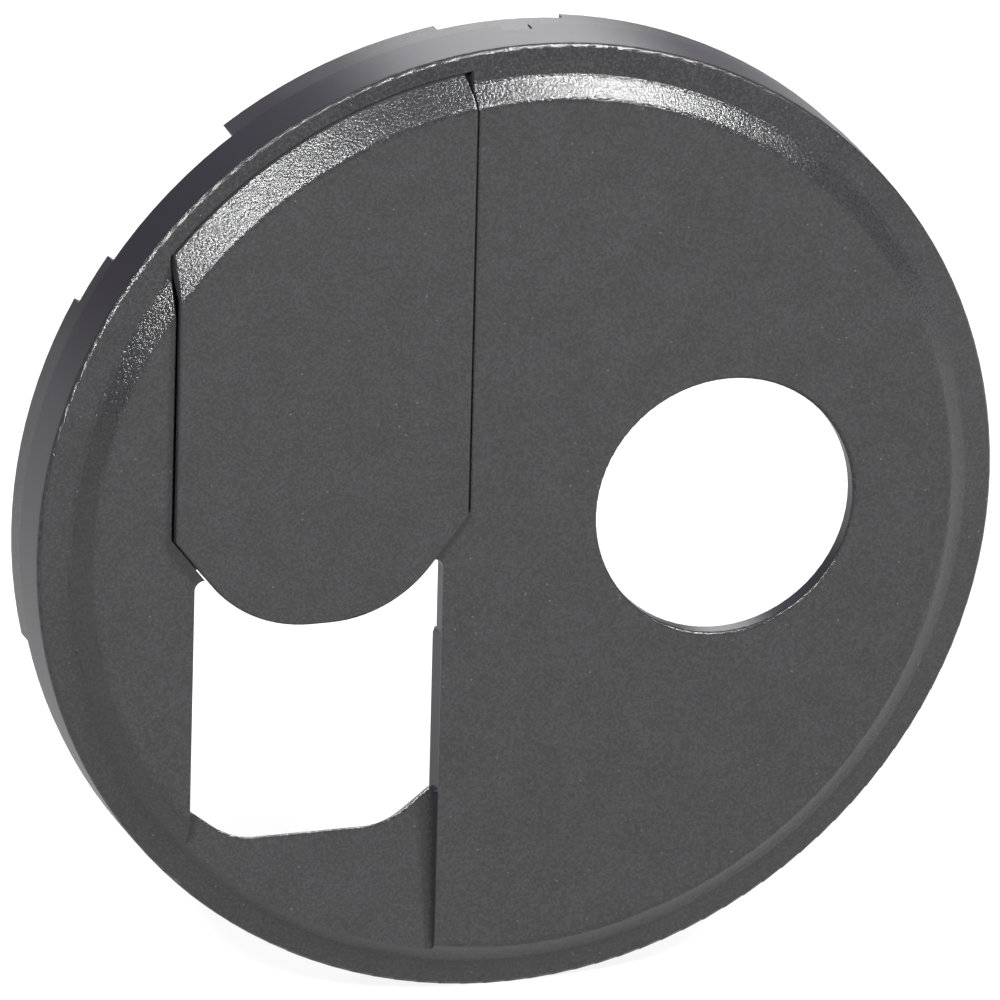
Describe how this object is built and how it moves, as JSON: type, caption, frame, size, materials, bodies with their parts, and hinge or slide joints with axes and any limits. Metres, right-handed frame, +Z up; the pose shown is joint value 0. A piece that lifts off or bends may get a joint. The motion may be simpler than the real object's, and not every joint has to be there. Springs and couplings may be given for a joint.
{
  "type": "outlet cover plate",
  "caption": "Round clip-fit outlet cover plate with a sliding shutter over a data opening, a round coaxial opening and a rear carrier ring.",
  "frame": {"origin": "on the cover's axis, in the plane of the rear carrier's rear edge, where the part meets the outlet or panel", "axes": "+Z up, +X to the right seen from the front, +Y backwards into the outlet"},
  "size_m": [0.0572, 0.0109, 0.0572],
  "materials": {
    "graphite_finish": "fine sparkling grain",
    "dark_plastic": "satin"
  },
  "bodies": {
    "cover": {"front_cover": "graphite_finish", "rear_carrier": "dark_plastic"},
    "shutter": {"shutter": "graphite_finish"}
  },
  "joints": [
    {"name": "shutter_slide", "type": "slide", "parent": "cover", "child": "shutter", "axis": [0, 0, -1], "range_m": [0, 0.0146]}
  ]
}
